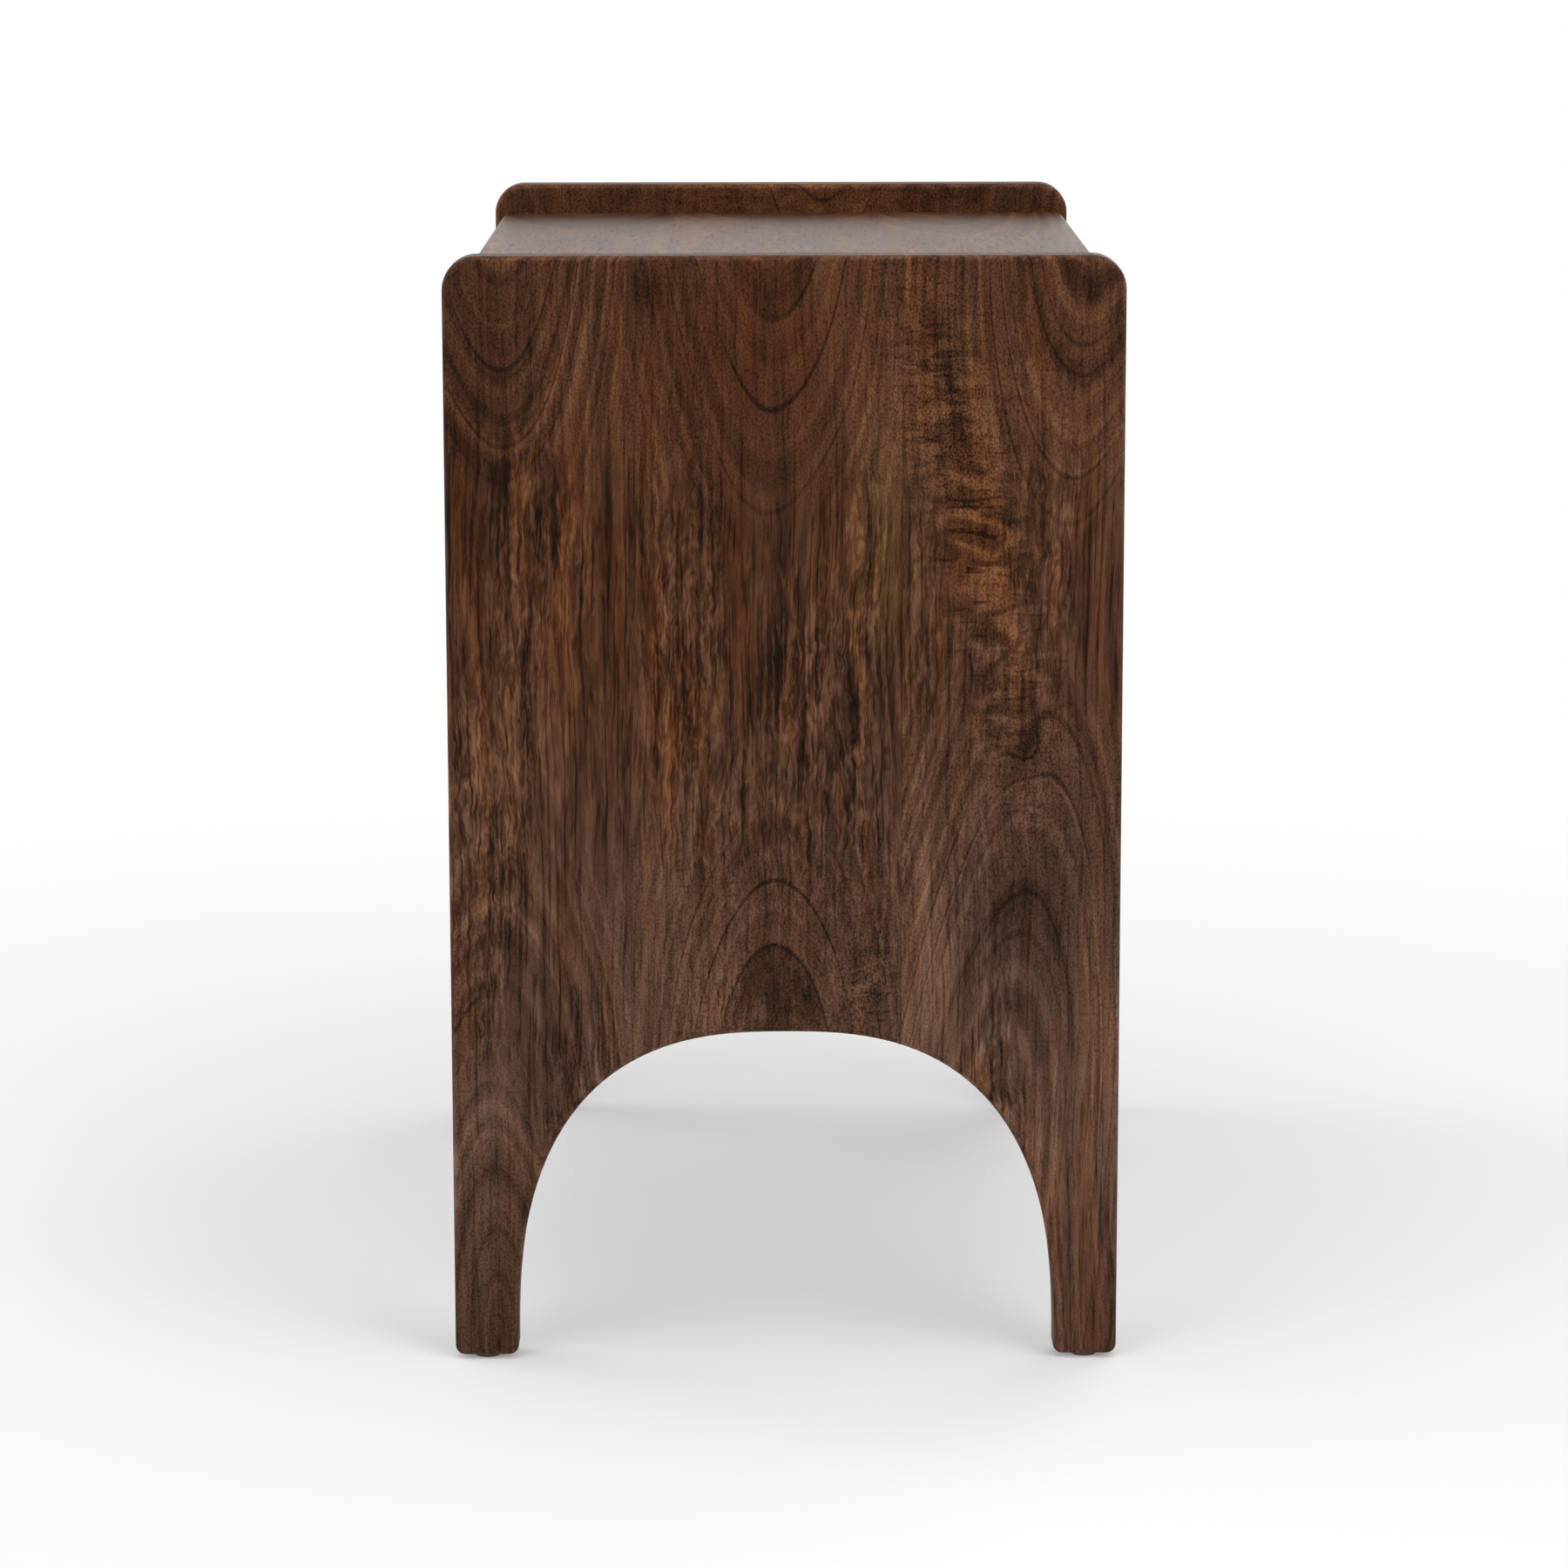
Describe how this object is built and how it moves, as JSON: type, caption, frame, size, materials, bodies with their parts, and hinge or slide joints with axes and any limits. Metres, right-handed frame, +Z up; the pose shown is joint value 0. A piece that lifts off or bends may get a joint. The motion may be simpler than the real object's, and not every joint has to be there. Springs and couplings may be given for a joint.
{
  "type": "nightstand",
  "caption": "Nightstand with slab sides that arch into legs, a sunken top between raised lips, and inset drawers with scooped finger pulls on ball-bearing slides.",
  "frame": {"origin": "centre of the footprint, on the floor", "axes": "+Z up, X across the width, -Y towards the drawer fronts"},
  "size_m": [0.61, 0.381, 0.635],
  "materials": {
    "dark_wood": "dark stained mango wood, satin lacquer",
    "box_wood": "oiled mango wood",
    "sheet_wood": "sealed birch plywood",
    "dowel_wood": "bare beech",
    "zinc": "bright zinc plate",
    "nylon": "brown nylon"
  },
  "bodies": {
    "case": {"side_panel_left": "dark_wood", "side_panel_right": "dark_wood", "top_panel": "dark_wood", "bottom_panel": "dark_wood", "drawer_divider": "dark_wood", "back_panel": "dark_wood", "top_dowel_front_left": "dowel_wood", "top_dowel_front_right": "dowel_wood", "top_dowel_rear_left": "dowel_wood", "top_dowel_rear_right": "dowel_wood", "foot_glide_front_left": "nylon", "foot_glide_front_right": "nylon", "foot_glide_rear_left": "nylon", "foot_glide_rear_right": "nylon", "lower_slide_channel_left": "zinc", "lower_slide_channel_left_screw_front": "zinc", "lower_slide_channel_left_screw_rear": "zinc", "lower_slide_channel_right": "zinc", "lower_slide_channel_right_screw_front": "zinc", "lower_slide_channel_right_screw_rear": "zinc", "upper_slide_channel_left": "zinc", "upper_slide_channel_left_screw_front": "zinc", "upper_slide_channel_left_screw_rear": "zinc", "upper_slide_channel_right": "zinc", "upper_slide_channel_right_screw_front": "zinc", "upper_slide_channel_right_screw_rear": "zinc"},
    "lower_drawer": {"lower_drawer_face": "dark_wood", "lower_drawer_box_front": "box_wood", "lower_drawer_box_back": "box_wood", "lower_drawer_box_left": "box_wood", "lower_drawer_box_right": "box_wood", "lower_drawer_box_bottom": "sheet_wood", "lower_face_screw_left": "zinc", "lower_face_screw_right": "zinc", "lower_slide_rail_left": "zinc", "lower_slide_rail_left_screw_front": "zinc", "lower_slide_rail_left_screw_rear": "zinc", "lower_slide_rail_right": "zinc", "lower_slide_rail_right_screw_front": "zinc", "lower_slide_rail_right_screw_rear": "zinc"},
    "upper_drawer": {"upper_drawer_face": "dark_wood", "upper_drawer_box_front": "box_wood", "upper_drawer_box_back": "box_wood", "upper_drawer_box_left": "box_wood", "upper_drawer_box_right": "box_wood", "upper_drawer_box_bottom": "sheet_wood", "upper_face_screw_left": "zinc", "upper_face_screw_right": "zinc", "upper_slide_rail_left": "zinc", "upper_slide_rail_left_screw_front": "zinc", "upper_slide_rail_left_screw_rear": "zinc", "upper_slide_rail_right": "zinc", "upper_slide_rail_right_screw_front": "zinc", "upper_slide_rail_right_screw_rear": "zinc"},
    "lower_cages": {"lower_ball_cage_left": "zinc", "lower_ball_cage_right": "zinc"},
    "upper_cages": {"upper_ball_cage_left": "zinc", "upper_ball_cage_right": "zinc"}
  },
  "joints": [
    {"name": "lower_drawer_slide", "type": "slide", "parent": "case", "child": "lower_drawer", "axis": [0, -1, 0], "range_m": [0, 0.225]},
    {"name": "upper_drawer_slide", "type": "slide", "parent": "case", "child": "upper_drawer", "axis": [0, -1, 0], "range_m": [0, 0.225]},
    {"name": "lower_cage_slide", "type": "slide", "parent": "case", "child": "lower_cages", "axis": [0, -1, 0], "range_m": [0, 0.1125]},
    {"name": "upper_cage_slide", "type": "slide", "parent": "case", "child": "upper_cages", "axis": [0, -1, 0], "range_m": [0, 0.1125]}
  ],
  "couplings": [
    {"joint": "lower_cage_slide", "follows": "lower_drawer_slide", "ratio": 0.5},
    {"joint": "upper_cage_slide", "follows": "upper_drawer_slide", "ratio": 0.5}
  ]
}
